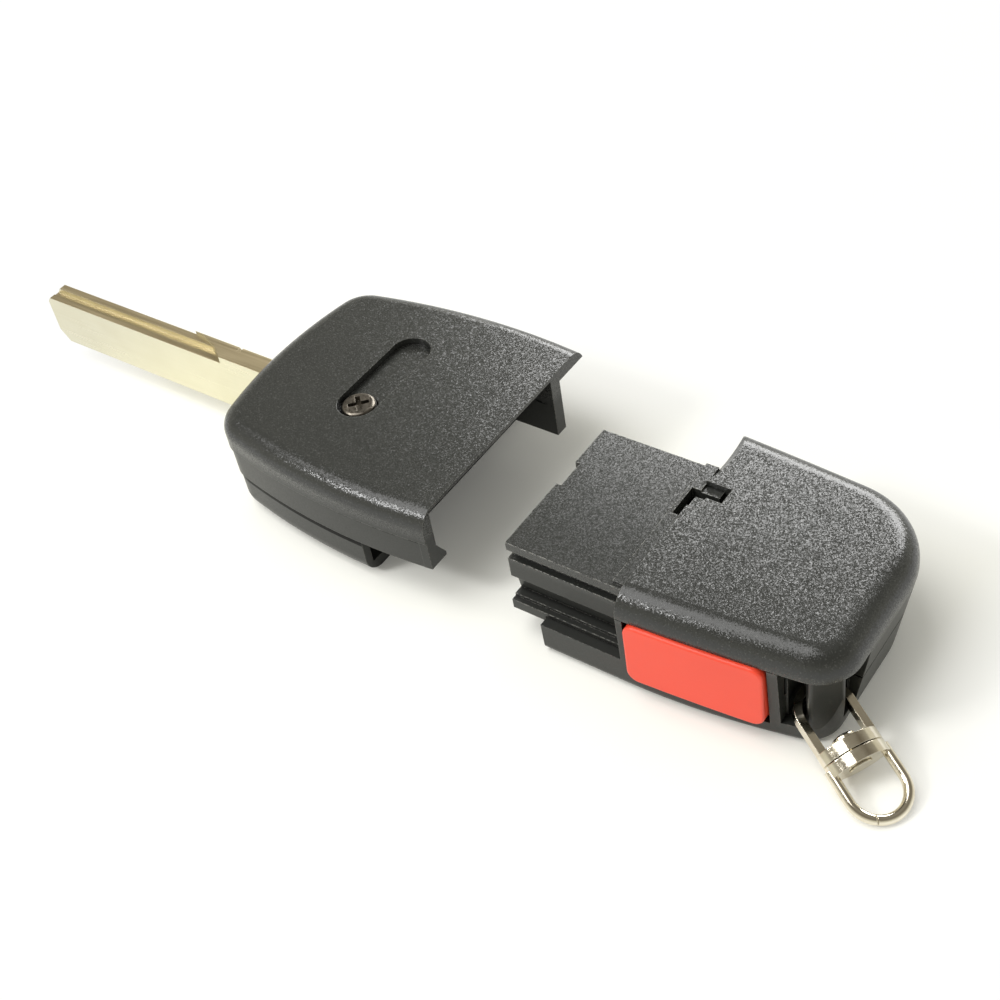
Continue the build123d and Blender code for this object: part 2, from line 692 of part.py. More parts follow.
def remote_tray():
    """Inner tray of the remote half, whose tongue slides into the head."""
    front_x = draw_apart - tongue_reach
    back_x = draw_apart + remote_wall + 1
    plate_bottom = tongue_top - tongue_plate
    block_top = plate_bottom - tongue_groove
    set_back = tongue_near + tongue_groove_depth
    side = [(tongue_near, tongue_top), (tongue_near, plate_bottom), (set_back, plate_bottom),
            (set_back, block_top), (tongue_near, block_top),
            (tongue_near, tongue_block_bottom + tongue_block_rise),
            (tongue_near + tongue_block_bevel, tongue_block_bottom),
            (tongue_near + tongue_block_bevel + 0.3, tongue_web_bottom),
            (rail_near + rail_step, tongue_web_bottom), (rail_near + rail_step, rail_top),
            (rail_near, rail_top), (rail_near, rail_bottom), (tongue_far, rail_bottom),
            (tongue_far, tongue_top)]
    tray = profile_along_x(side, front_x, back_x)
    ledge = box(draw_apart - ledge_width, draw_apart, tongue_near + 0.6, tongue_far + 0.2,
                tongue_top - 0.1, tongue_top + ledge_rise)
    tray += ledge
    tray -= box(front_x + tray_wall, back_x + 1, tongue_near + 2.4, tongue_far - tray_wall,
                rail_bottom + tray_wall, plate_bottom)
    tray -= box(remote_front_start - 0.2, beyond, -beyond, near_side + lap_shelf + 0.2,
                0, remote_lap_top + 0.05)
    tray -= box(front_x - 1, front_x + notch_depth, notch_y - notch_width / 2, notch_y + notch_width / 2,
                plate_bottom - 1, tongue_top + 1)
    tray -= box(draw_apart - latch_slit_length, draw_apart + latch_hole_length, latch_near - 0.3,
                latch_far + 0.3, plate_bottom - 1, thickness)
    tray -= box(draw_apart + 1.4, beyond, -beyond, beyond, 0, tray_shelf_z)
    shelf = inside(REMOTE_SEAM, remote_wall + part_gap, tray_shelf_z, tray_shelf_z + tray_shelf)
    shelf = shelf & box(draw_apart, beyond, tongue_near + 3, beyond, 0, thickness)
    shelf -= rod(pocket_radius + pocket_wall + part_gap, post_x, post_y, 0, thickness)
    tray += shelf
    rim_top = tray_shelf_z + tray_shelf + cell_height * cell_rim_share
    rim = rod(cell_radius + cell_rim, cell_x, cell_y, tray_shelf_z, rim_top)
    rim = rim & inside(REMOTE_SEAM, remote_wall + part_gap, 0, thickness)
    tray += rim - rod(pocket_radius + pocket_wall + part_gap, post_x, post_y, 0, thickness)
    tray -= rod(cell_radius + 0.1, cell_x, cell_y, tray_shelf_z + tray_shelf, thickness - remote_wall)
    tray -= box(draw_apart, beyond, -beyond, near_side + 3.6, 0, plate_bottom - 0.2)
    for x, y in board_seats():
        tray += rod(stud_radius, x, y, board_bottom + board_thick, tray_shelf_z + 0.1)
    tray -= contact_minus_strip(0.02)
    tray -= box(cell_x - contact_width / 2 - 0.2, cell_x + contact_width / 2 + 0.2, contact_plus_y - 0.2,
                contact_plus_y + contact_thick + 0.2, board_bottom, tray_shelf_z + tray_shelf + 1)
    return tray


def board_seats():
    return [(33.6, 9.4), (46.2, 7.4), (33.6, -10.6)]


def contact_minus_strip(grow):
    """Strip let into the tray under the cell, with a leg down to the board."""
    top = tray_shelf_z + tray_shelf
    x0 = cell_x - contact_width / 2 - grow
    x1 = cell_x + contact_width / 2 + grow
    strip = box(x0, x1, contact_minus_start - grow, contact_minus_end + grow, top - contact_thick - grow, top)
    leg = box(x0, x1, contact_minus_end - contact_thick - grow, contact_minus_end + grow,
              board_bottom + board_thick, top)
    return strip + leg


def battery_contact_minus():
    return contact_minus_strip(0)


def battery_contact_plus():
    """Strip over the cell, with a leg outside its rim down to the board."""
    top = tray_shelf_z + tray_shelf + cell_height
    x0 = cell_x - contact_width / 2
    x1 = cell_x + contact_width / 2
    strip = box(x0, x1, cell_y + 3.0, contact_plus_y + contact_thick, top, top + contact_thick)
    leg = box(x0, x1, contact_plus_y, contact_plus_y + contact_thick, board_bottom + board_thick, top)
    return strip + leg


def coin_cell():
    """Coin cell with its can's rounded edge and the step of its lid."""
    low = tray_shelf_z + tray_shelf
    cell = rod(cell_radius, cell_x, cell_y, low, low + cell_height)
    cell = fillet(cell.edges().filter_by(GeomType.CIRCLE).sort_by(Axis.Z)[-1], cell_round)
    step = rod(cell_radius + 1, cell_x, cell_y, low - 1, low + cell_lid_height)
    step -= rod(cell_radius - cell_lid_step, cell_x, cell_y, low - 2, low + 1)
    return cell - step


def circuit_board():
    """Board that carries the switches, under the tray."""
    face = offset(REMOTE_FRONT, -(remote_wall + board_clear), kind=Kind.INTERSECTION)
    board = prism(face, board_bottom, board_bottom + board_thick)
    board = board & box(draw_apart + remote_wall + 1.3, beyond, board_near, beyond, 0, thickness)
    board -= rod(pocket_radius + pocket_wall + part_gap, post_x, post_y, 0, thickness)
    return board


def tact_switch(x, y):
    """Surface switch under the board, with its plunger towards the front face."""
    top = board_bottom
    body = box(x - switch_size / 2, x + switch_size / 2, y - switch_size / 2, y + switch_size / 2,
               top - switch_body, top)
    return body + rod(switch_plunger, x, y, top - switch_body - switch_plunger_height, top - switch_body + 0.1)


def tact_switch_panic():
    """Side switch on the board's near edge, with its plunger towards the panic button."""
    x = (panic_start + panic_end) / 2
    low = board_bottom + board_thick
    body = box(x - switch_size / 2, x + switch_size / 2, board_near, board_near + side_switch_depth,
               low, low + side_switch_height)
    plunger = Pos(x, board_near - switch_plunger_reach / 2 + 0.1, panic_switch_z) * Rot(90, 0, 0)
    return body + plunger * Cylinder(switch_plunger * 0.9, switch_plunger_reach + 0.2)


def key_button(x):
    """Front button with a flange behind its hole."""
    low = key_button_inset
    top = board_bottom - switch_body - switch_plunger_height - key_button_travel - 0.05
    cap = prism(key_button_face(x, 0), low, top)
    ring = [e for e in cap.edges() if abs(e.center().Z - low) < 0.01]
    cap = fillet(ring, 0.5)
    flange = prism(key_button_face(x, key_button_flange), front_plate + 0.05, top)
    return cap + flange


def panic_band(outer, inner):
    """The band between two offsets of the remote half's outline."""
    return (prism(offset(REMOTE_BACK_LONG, outer), 0, thickness)
            - prism(offset(REMOTE_BACK_LONG, inner), -1, thickness + 1))


def panic_button():
    """Long button on the near side, proud of its frame, with side flanges and a boss inside."""
    cap = panic_band(panic_proud, -remote_wall - 0.2) & side_plate(panic_start, panic_end, panic_bottom,
                                                                   panic_top, panic_corner)
    face = cap.faces().sort_by(Axis.Y)[0]
    cap = fillet(face.edges(), 0.35)
    flange = panic_band(-remote_wall - 0.1, -remote_wall - 0.1 - panic_flange_thick)
    flange = flange & box(panic_start - panic_flange, panic_end + panic_flange, -beyond, near_side + 6,
                          front_plate + 0.1, panic_top - 0.1)
    x = (panic_start + panic_end) / 2
    end = board_near - switch_plunger_reach - panic_travel - 0.05
    boss = Pos(x, (near_side + 2.0 + end) / 2, panic_switch_z) * Rot(90, 0, 0)
    return cap + flange + boss * Cylinder(panic_boss_radius, end - near_side - 2.0)


def lens_plate(x0, x1):
    """Stamped lens-shaped plate across the swivel's axis."""
    half = plate_width / 2
    side = plate_height / 2
    upper = ThreePointArc((-half, 0), (0, side), (half, 0))
    lower = ThreePointArc((half, 0), (0, -side), (-half, 0))
    face = make_face(Curve() + [upper, lower])
    face = fillet(face.vertices(), 1.2)
    plane = Plane(origin=(x0, 0, 0), x_dir=(0, 1, 0), z_dir=(1, 0, 0))
    return extrude(plane * face, x1 - x0, dir=(1, 0, 0))


def keyring_shackle():
    """Strap bent round the post, with the inner plate of the swivel across its ends."""
    inner = shackle_inner / 2
    outer = inner + strap
    bow = Cylinder(outer, strap_height) - Cylinder(inner, strap_height + 1)
    bow = bow & box(-outer - 1, 0, -outer - 1, outer + 1, -strap_height, strap_height)
    shackle = bow
    for side in (-1, 1):
        y0 = min(side * inner, side * outer)
        shackle += box(-0.01, shackle_reach + 0.1, y0, y0 + strap, -strap_height / 2, strap_height / 2)
    shackle += lens_plate(shackle_reach, shackle_reach + plate_thick)
    shackle -= Rot(0, 90, 0) * Cylinder(rivet_radius + running_gap, 4 * shackle_reach)
    shackle += bow
    return swivel_frame * shackle


def swivel_rivet():
    """Rivet through both plates of the swivel, with a high head inside and a flat one outside."""
    x0 = shackle_reach
    x1 = shackle_reach + 2 * plate_thick + plate_gap + 0.05
    shank = Pos((x0 + x1) / 2, 0, 0) * Rot(0, 90, 0) * Cylinder(rivet_radius, x1 - x0 + 0.2)
    rivet = shank
    head = Pos(x0 - rivet_head / 2, 0, 0) * Rot(0, 90, 0) * Cylinder(rivet_head_radius, rivet_head)
    rivet += fillet(head.edges().filter_by(GeomType.CIRCLE).sort_by(Axis.X)[0], 0.35)
    rivet += Pos(x1 + rivet_tail / 2, 0, 0) * Rot(0, 90, 0) * Cylinder(rivet_head_radius, rivet_tail)
    return swivel_frame * rivet


def swivel_loop():
    """Outer plate of the swivel with its D-shaped wire loop, split at one side of the bow."""
    x0 = shackle_reach + plate_thick + plate_gap
    x1 = x0 + plate_thick
    half = loop_width / 2 - loop_wire / 2
    turn = loop_length - half
    path = Curve() + [Line((x0 + 0.5, -half), (turn, -half)),
                      ThreePointArc((turn, -half), (loop_length, 0), (turn, half)),
                      Line((turn, half), (x0 + 0.5, half))]
    start = Plane(origin=(x0 + 0.5, -half, 0), x_dir=(0, 1, 0), z_dir=(1, 0, 0))
    loop = sweep(start * Circle(loop_wire / 2), Wire(path.edges()))
    cut = Pos(turn, 0, 0) * Rot(0, 0, loop_split_angle) * Pos(half, 0, 0)
    loop -= cut * Rot(0, 0, 20) * Box(3, loop_split, 3)
    loop += lens_plate(x0, x1)
    loop -= Rot(0, 90, 0) * Cylinder(rivet_radius + running_gap, 2 * x1)
    return swivel_frame * loop


NODES = {
    "head_back_shell": head_back_shell,
    "head_front_shell": head_front_shell,
    "head_screw": head_screw,
    "transponder_chip": transponder_chip,
    "key_blade": key_blade,
    "blade_hub": blade_hub,
    "blade_pin": blade_pin,
    "flip_spring": flip_spring,
    "release_button": release_button,
    "remote_back_shell": remote_back_shell,
    "remote_front_shell": remote_front_shell,
    "remote_tray": remote_tray,
    "circuit_board": circuit_board,
    "coin_cell": coin_cell,
    "battery_contact_plus": battery_contact_plus,
    "battery_contact_minus": battery_contact_minus,
    "tact_switch_panic": tact_switch_panic,
    "panic_button": panic_button,
    "keyring_shackle": keyring_shackle,
    "swivel_rivet": swivel_rivet,
    "swivel_loop": swivel_loop,
}
for place, label in zip(key_button_places(), ("trunk", "unlock", "lock")):
    NODES[label + "_button"] = lambda x=place: key_button(x)
    NODES["tact_switch_" + label] = lambda x=place: tact_switch(x, key_button_y)


if __name__ == "__main__":
    os.makedirs("parts", exist_ok=True)
    shift = Pos(-screw_x, -screw_y, 0)
    for name, make in NODES.items():
        export_step(shift * make(), f"parts/{name}.step")
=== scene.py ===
import json
import math

import bpy
from mathutils import Matrix, Vector

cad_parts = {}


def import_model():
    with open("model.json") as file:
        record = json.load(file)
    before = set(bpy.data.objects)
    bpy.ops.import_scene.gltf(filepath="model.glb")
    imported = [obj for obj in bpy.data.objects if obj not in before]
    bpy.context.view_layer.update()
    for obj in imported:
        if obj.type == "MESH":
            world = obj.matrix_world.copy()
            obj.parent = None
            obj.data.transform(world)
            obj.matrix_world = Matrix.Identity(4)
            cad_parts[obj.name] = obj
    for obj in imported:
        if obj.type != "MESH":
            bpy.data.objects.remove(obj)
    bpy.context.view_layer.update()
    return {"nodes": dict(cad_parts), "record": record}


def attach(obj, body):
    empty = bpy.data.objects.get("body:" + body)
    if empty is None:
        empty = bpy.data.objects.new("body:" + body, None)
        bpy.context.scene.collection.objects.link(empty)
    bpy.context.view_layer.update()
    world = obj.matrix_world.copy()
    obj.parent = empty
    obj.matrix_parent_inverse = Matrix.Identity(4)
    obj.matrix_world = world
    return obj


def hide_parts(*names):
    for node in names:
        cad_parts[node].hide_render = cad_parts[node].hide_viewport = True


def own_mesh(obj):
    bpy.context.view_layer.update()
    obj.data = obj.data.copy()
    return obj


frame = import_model()
NODES = frame["nodes"]
MM = 0.001

# Edges, in metres
EDGE_ROUND = 0.00012
# Width of the painted edge highlights, also the rounding of the red button's edges
WIDE_EDGE_ROUND = 0.0002
EDGE_SAMPLES = 4
EDGE_HIGHLIGHT_SAMPLES = 6
EDGE_HIGHLIGHT_TURN = (0.985, 0.90)

# Heights and ends of the seams of the two shells, in metres; the lower seam band is painted shadow
# under the upper shell's overhang
SEAM_SHADOW_BAND = (0.00580, 0.00690)
PARTING_BAND = (0.01130, 0.01170)
HEAD_FRONT_END = 0.0096
HEAD_OPEN_END = 0.0212
BAND_EDGE = 0.00003
END_EDGE = 0.0001

# Painted shade in seams and inner corners
CREVICE_REACH = 0.0008
CREVICE_SAMPLES = 6
CREVICE_SPAN = (0.30, 0.85)

# The flip spring
SPRING_BODY = "blade"


# Node tree helpers

def new_material(name):
    mat = bpy.data.materials.new(name)
    mat.use_nodes = True
    tree = mat.node_tree
    tree.nodes.clear()
    out = tree.nodes.new("ShaderNodeOutputMaterial")
    shader = tree.nodes.new("ShaderNodeBsdfPrincipled")
    tree.links.new(shader.outputs["BSDF"], out.inputs["Surface"])
    return mat, tree, shader


def coords(tree, scale=(1, 1, 1)):
    tex = tree.nodes.new("ShaderNodeTexCoord")
    mapping = tree.nodes.new("ShaderNodeMapping")
    mapping.inputs["Scale"].default_value = scale
    tree.links.new(tex.outputs["Object"], mapping.inputs["Vector"])
    return mapping.outputs["Vector"]


def noise(tree, vector, scale, detail=3.0, rough=0.55):
    node = tree.nodes.new("ShaderNodeTexNoise")
    node.inputs["Scale"].default_value = scale
    node.inputs["Detail"].default_value = detail
    node.inputs["Roughness"].default_value = rough
    tree.links.new(vector, node.inputs["Vector"])
    return node.outputs["Fac"]


def ramp(tree, value, stops):
    node = tree.nodes.new("ShaderNodeValToRGB")
    elements = node.color_ramp.elements
    while len(elements) < len(stops):
        elements.new(0.5)
    for element, (place, colour) in zip(elements, stops):
        element.position = place
        element.color = (*colour, 1)
    tree.links.new(value, node.inputs["Fac"])
    return node.outputs["Color"]


def span(tree, value, low, high, out_low=0.0, out_high=1.0):
    node = tree.nodes.new("ShaderNodeMapRange")
    node.inputs["From Min"].default_value = low
    node.inputs["From Max"].default_value = high
    node.inputs["To Min"].default_value = out_low
    node.inputs["To Max"].default_value = out_high
    tree.links.new(value, node.inputs["Value"])
    return node.outputs["Result"]


def calc(tree, kind, a, b=0.0):
    node = tree.nodes.new("ShaderNodeMath")
    node.operation = kind
    for value, place in ((a, 0), (b, 1)):
        if isinstance(value, (int, float)):
            node.inputs[place].default_value = value
        else:
            tree.links.new(value, node.inputs[place])
    return node.outputs["Value"]


def mix(tree, factor, a, b):
    node = tree.nodes.new("ShaderNodeMix")
    node.data_type = "RGBA"
    tree.links.new(factor, node.inputs["Factor"])
    for value, place in ((a, 6), (b, 7)):
        if isinstance(value, tuple):
            node.inputs[place].default_value = (*value, 1)
        else:
            tree.links.new(value, node.inputs[place])
    return node.outputs[2]


def rounded_normal(tree, radius, samples):
    """Normals of edges that catch the light as if slightly rounded."""
    node = tree.nodes.new("ShaderNodeBevel")
    node.samples = samples
    node.inputs["Radius"].default_value = radius
    return node.outputs["Normal"]


def bump(tree, shader, height, distance, edge=EDGE_ROUND):
    """Surface relief over rounded edges."""
    node = tree.nodes.new("ShaderNodeBump")
    node.inputs["Strength"].default_value = 1.0
    node.inputs["Distance"].default_value = distance
    tree.links.new(height, node.inputs["Height"])
    tree.links.new(rounded_normal(tree, edge, EDGE_SAMPLES), node.inputs["Normal"])
    tree.links.new(node.outputs["Normal"], shader.inputs["Normal"])


def vector_calc(tree, kind, a, b=None):
    node = tree.nodes.new("ShaderNodeVectorMath")
    node.operation = kind
    tree.links.new(a, node.inputs[0])
    if isinstance(b, tuple):
        node.inputs[1].default_value = b
    elif b is not None:
        tree.links.new(b, node.inputs["Scale"] if kind == "SCALE" else node.inputs[1])
    return node.outputs["Value" if kind == "DOT_PRODUCT" else "Vector"]


def facets(tree, vector, scale, tilt):
    """Normals of many small facets with random tilts, over rounded edges."""
    node = tree.nodes.new("ShaderNodeTexVoronoi")
    node.inputs["Scale"].default_value = scale
    tree.links.new(vector, node.inputs["Vector"])
    lean = vector_calc(tree, "SUBTRACT", node.outputs["Color"], (0.5, 0.5, 0.5))
    sized = vector_calc(tree, "SCALE", lean, tilt)
    total = vector_calc(tree, "ADD", rounded_normal(tree, EDGE_ROUND, EDGE_SAMPLES), sized)
    return vector_calc(tree, "NORMALIZE", total)


def crevice_shade_mask(tree):
    """Ambient-occlusion mask for painted shade: one on open surfaces, falling towards zero in seams
    and inner corners.
    """
    node = tree.nodes.new("ShaderNodeAmbientOcclusion")
    node.samples = CREVICE_SAMPLES
    node.inputs["Distance"].default_value = CREVICE_REACH
    return span(tree, node.outputs["AO"], *CREVICE_SPAN)


def edge_highlight_mask(tree):
    """One along a corner as wide as the painted edge highlight, zero on the faces."""
    geometry = tree.nodes.new("ShaderNodeNewGeometry")
    rounded = rounded_normal(tree, WIDE_EDGE_ROUND, EDGE_HIGHLIGHT_SAMPLES)
    turn = vector_calc(tree, "DOT_PRODUCT", rounded, geometry.outputs["Normal"])
    return span(tree, turn, *EDGE_HIGHLIGHT_TURN)


def split_part(tree, vector, axis):
    split = tree.nodes.new("ShaderNodeSeparateXYZ")
    tree.links.new(vector, split.inputs["Vector"])
    return split.outputs[axis]


def normal_part(tree, axis):
    geometry = tree.nodes.new("ShaderNodeNewGeometry")
    return split_part(tree, geometry.outputs["Normal"], axis)


def place_part(tree, axis):
    tex = tree.nodes.new("ShaderNodeTexCoord")
    return split_part(tree, tex.outputs["Object"], axis)


def height_band(tree, low, high):
    """One between two heights."""
    above = span(tree, place_part(tree, "Z"), low - BAND_EDGE, low + BAND_EDGE)
    below = span(tree, place_part(tree, "Z"), high - BAND_EDGE, high + BAND_EDGE, 1.0, 0.0)
    return calc(tree, "MULTIPLY", above, below)


def before(tree, x):
    """One to the left of a place along X."""
    return span(tree, place_part(tree, "X"), x - END_EDGE, x, 1.0, 0.0)


# Materials

GRAIN_SCALE = 7200
GRAIN_SIDE_SHARE = 0.25
SPECK_SCALE = 4700
SPECK_SPAN = (0.62, 0.74)
# Pale grain specks on the back, partly grain tone and partly painted glints
SPECK_AND_GLINT_COLOUR = (0.24, 0.24, 0.225)
PATCH_SCALE = 2600
CLOUD_SCALE = 90
GRAIN_START = (0.0118, 0.0130)
PLASTIC_DARK = (0.021, 0.022, 0.0200)
PLASTIC_PALE = (0.029, 0.030, 0.0270)
# Painted shade: the near-black colour laid into occluded seams and inner corners
CREVICE_SHADE_COLOUR = (0.003, 0.003, 0.003)
# Painted highlight: the pale colour laid in broken patches along convex edges
EDGE_HIGHLIGHT_COLOUR = (0.32, 0.315, 0.28)
EDGE_HIGHLIGHT_PATCHES = (0.42, 0.56)
PARTING_BREAKS = (0.46, 0.54)
PARTING_SCALE = 700
SIDE_ROUGH = 0.34
ROUGH_DRIFT = (-0.02, 0.03)
# Specular level in painted shade and in the open
CREVICE_SHADE_SHEEN = (0.16, 1.0)
SHEEN_SPAN = (0.34, 0.5)
MIDDLE = (0.3, 0.7)


def seam_shadow_and_parting_line(tree, vector):
    """One on the painted shadow band at the seam under the head and, in broken lines, along the
    parting line.
    """
    # Painted shadow: a dark band at the seam's height, under the upper shell's overhang
    seam_shadow = calc(tree, "MULTIPLY", height_band(tree, *SEAM_SHADOW_BAND), before(tree, HEAD_FRONT_END))
    parting = calc(tree, "MULTIPLY", height_band(tree, *PARTING_BAND), before(tree, HEAD_OPEN_END))
    breaks = span(tree, noise(tree, vector, PARTING_SCALE, 2.0), *PARTING_BREAKS)
    return calc(tree, "MAXIMUM", seam_shadow, calc(tree, "MULTIPLY", parting, breaks))


def grained_plastic(name, lean, speck_and_glint, rough_top, edge_highlight):
    """Spark-eroded black plastic that glitters on the back, smoother on the side walls; its colour
    carries painted shade in seams and inner corners, a painted shadow along the seam, painted edge
    highlights and pale grain specks that are partly painted glints.
    """
    mat, tree, shader = new_material(name)
    vector = coords(tree)
    fine = noise(tree, vector, SPECK_SCALE, 0.5)
    coarse = noise(tree, vector, PATCH_SCALE, 2.0)
    cloud = noise(tree, vector, CLOUD_SCALE, 3.0)
    up = span(tree, place_part(tree, "Z"), *GRAIN_START)
    speck_glint_mask = calc(tree, "MULTIPLY", span(tree, fine, *SPECK_SPAN), up)
    # Pale specks on the grained back: partly grain tone, partly painted glints
    colour = mix(tree, cloud, PLASTIC_DARK, PLASTIC_PALE)
    colour = mix(tree, calc(tree, "MULTIPLY", speck_glint_mask, speck_and_glint), colour, SPECK_AND_GLINT_COLOUR)
    away = span(tree, seam_shadow_and_parting_line(tree, vector), 0, 1, 1.0, 0.0)
    unshaded_part = calc(tree, "MULTIPLY", crevice_shade_mask(tree), away)
    edge = calc(tree, "MULTIPLY", edge_highlight_mask(tree), span(tree, coarse, *EDGE_HIGHLIGHT_PATCHES))
    # Painted highlight: convex edges are lightened towards the pale edge colour
    colour = mix(tree, calc(tree, "MULTIPLY", edge, edge_highlight), colour, EDGE_HIGHLIGHT_COLOUR)
    # Painted shade: occluded corners, the seam band and the parting line are mixed towards the
    # near-black shade colour
    colour = mix(tree, unshaded_part, CREVICE_SHADE_COLOUR, colour)
    tree.links.new(colour, shader.inputs["Base Color"])
    rough = calc(tree, "ADD", span(tree, up, 0, 1, SIDE_ROUGH, rough_top),
                 span(tree, coarse, *MIDDLE, *ROUGH_DRIFT))
    tree.links.new(rough, shader.inputs["Roughness"])
    tilt = span(tree, up, 0, 1, lean * GRAIN_SIDE_SHARE, lean)
    tree.links.new(facets(tree, vector, GRAIN_SCALE, tilt), shader.inputs["Normal"])
    # Painted shade on reflections: the specular level drops where occlusion and the seam marks darken
    # the colour
    sheen_level = calc(tree, "MULTIPLY", span(tree, unshaded_part, 0, 1, *CREVICE_SHADE_SHEEN),
                       span(tree, up, 0, 1, *SHEEN_SPAN))
    tree.links.new(sheen_level, shader.inputs["Specular IOR Level"])
    return mat


def smooth_plastic(name, colour, rough):
    """Moulded plastic with a faint orange-peel surface and handling marks."""
    peel_scale, mark_scale, depth = 3800, 160, 0.00001
    mat, tree, shader = new_material(name)
    vector = coords(tree)
    fine = noise(tree, vector, peel_scale, 2.0)
    cloud = noise(tree, vector, mark_scale, 4.0)
    light = tuple(c * 1.25 + 0.003 for c in colour)
    tree.links.new(mix(tree, cloud, colour, light), shader.inputs["Base Color"])
    tree.links.new(span(tree, cloud, *MIDDLE, rough - 0.05, rough + 0.07), shader.inputs["Roughness"])
    bump(tree, shader, fine, depth)
    return mat


def red_plastic():
    cloud_scale, peel_scale, depth = 120, 2600, 0.000006
    deep, bright, edge_highlight_colour = (0.80, 0.058, 0.025), (0.87, 0.076, 0.036), (1.0, 0.30, 0.20)
    edge_highlight_share = 0.35
    mat, tree, shader = new_material("panic_red_plastic")
    vector = coords(tree)
    cloud = noise(tree, vector, cloud_scale, 3.0)
    fine = noise(tree, vector, peel_scale, 2.0)
    colour = mix(tree, cloud, deep, bright)
    # Painted highlight: the red button's edges are lightened
    colour = mix(tree, calc(tree, "MULTIPLY", edge_highlight_mask(tree), edge_highlight_share), colour, edge_highlight_colour)
    tree.links.new(colour, shader.inputs["Base Color"])
    tree.links.new(span(tree, cloud, *MIDDLE, 0.30, 0.40), shader.inputs["Roughness"])
    bump(tree, shader, fine, depth, WIDE_EDGE_ROUND)
    shader.inputs["Subsurface Weight"].default_value = 0.08
    shader.inputs["Subsurface Radius"].default_value = (0.001, 0.0003, 0.0002)
    shader.inputs["Subsurface Scale"].default_value = 0.6
    return mat


def blade_metal():
    """Plated faces with fine lengthwise milling; up-facing faces get a darker, browner colour, partly
    bare milled metal and partly painted shade for the darker reflection from above.
    """
    line_stretch, cloud_scale, depth = (60, 2600, 2600), 220, 0.000006
    top_turn = (0.35, 0.75)
    top_rough = 0.05
    mat, tree, shader = new_material("blade_metal")
    long_lines = noise(tree, coords(tree, line_stretch), 1.0, 4.0)
    cloud = noise(tree, coords(tree), cloud_scale, 3.0)
    face = mix(tree, cloud, (0.72, 0.685, 0.51), (0.80, 0.77, 0.60))
    # Painted shade: up-facing faces are darker and browner, partly bare milled metal and partly a
    # stand-in for reflecting the darker room above
    bare_and_shaded_top = mix(tree, long_lines, (0.38, 0.31, 0.18), (0.62, 0.53, 0.35))
    top = span(tree, normal_part(tree, "Z"), *top_turn)
    tree.links.new(mix(tree, top, face, bare_and_shaded_top), shader.inputs["Base Color"])
    shader.inputs["Metallic"].default_value = 1.0
    rough = calc(tree, "ADD", span(tree, long_lines, *MIDDLE, 0.26, 0.40),
                 calc(tree, "MULTIPLY", top, top_rough))
    tree.links.new(rough, shader.inputs["Roughness"])
    bump(tree, shader, long_lines, depth)
    return mat


def plated_metal(name, low, high, rough, depth=0.000004):
    """Plated metal whose tint and polish vary slightly."""
    tint_scale, polish_scale = 420, 2400
    mat, tree, shader = new_material(name)
    vector = coords(tree)
    cloud = noise(tree, vector, tint_scale, 3.0)
    fine = noise(tree, vector, polish_scale, 3.0)
    tree.links.new(mix(tree, span(tree, cloud, 0.35, 0.65), low, high), shader.inputs["Base Color"])
    shader.inputs["Metallic"].default_value = 1.0
    tree.links.new(span(tree, fine, *MIDDLE, rough * 0.8, rough * 1.3), shader.inputs["Roughness"])
    bump(tree, shader, fine, depth)
    return mat


def board_material():
    track_scale, patch_scale, depth = 900, 600, 0.00001
    mat, tree, shader = new_material("board_green")
    tracks = noise(tree, coords(tree, (1, 1, 0.2)), track_scale, 1.0)
    colour = mix(tree, span(tree, tracks, 0.48, 0.52), (0.012, 0.10, 0.035), (0.02, 0.16, 0.06))
    tree.links.new(colour, shader.inputs["Base Color"])
    patches = noise(tree, coords(tree), patch_scale)
    tree.links.new(span(tree, patches, *MIDDLE, 0.25, 0.4), shader.inputs["Roughness"])
    bump(tree, shader, tracks, depth)
    return mat


MATERIALS = {
    "shell_plastic": grained_plastic("grained_black_plastic", 0.18, 0.12, 0.23, 0.30),
    "tray_plastic": grained_plastic("tray_black_plastic", 0.11, 0.08, 0.23, 0.7),
    "button_plastic": smooth_plastic("button_black_plastic", (0.034, 0.034, 0.033), 0.42),
    "panic_red": red_plastic(),
    "blade_metal": blade_metal(),
    "hub_metal": plated_metal("hub_cast_metal", (0.30, 0.30, 0.30), (0.40, 0.40, 0.39), 0.42, 0.00002),
    "nickel": plated_metal("bright_nickel", (0.70, 0.64, 0.51), (0.84, 0.79, 0.66), 0.09),
    "steel": plated_metal("zinc_steel", (0.10, 0.09, 0.075), (0.20, 0.18, 0.15), 0.30),
    "board": board_material(),
    "cell_steel": plated_metal("cell_can", (0.62, 0.62, 0.62), (0.72, 0.72, 0.71), 0.24),
    "switch_metal": plated_metal("switch_can", (0.55, 0.55, 0.55), (0.66, 0.66, 0.66), 0.3),
    "chip_ceramic": smooth_plastic("chip_potting", (0.016, 0.016, 0.017), 0.5),
}
for part in frame["record"]["subparts"]:
    obj = NODES[part["node"]]
    obj.data.materials.clear()
    obj.data.materials.append(MATERIALS[part["material_slot"]])


# The spring coil is copied from the CAD spring, which is hidden, and the copy rides with the blade
# body

def pressed_spring():
    spring = bpy.data.objects.new("flip_spring_coil", NODES["flip_spring"].data.copy())
    bpy.context.collection.objects.link(spring)
    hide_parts("flip_spring")
    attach(spring, SPRING_BODY)
    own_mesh(spring)


pressed_spring()


# Floor

SHADE_MIDDLE = {"X": 0.018, "Y": 0.004}
SHADE_HALF = {"X": 0.062, "Y": 0.021}
SHADE_FADE = 0.025
SHADE_SHARES = (0.06, 0.85)
FLOOR_HALF = 3.0
FLOOR_DROP = 0.00002
FLOOR_CLOUD = 14


def outside(tree, axis):
    """How far a point is outside the shaded stretch, along one axis."""
    off = calc(tree, "ABSOLUTE", calc(tree, "SUBTRACT", place_part(tree, axis), SHADE_MIDDLE[axis]))
    return calc(tree, "MAXIMUM", calc(tree, "SUBTRACT", off, SHADE_HALF[axis]), 0.0)


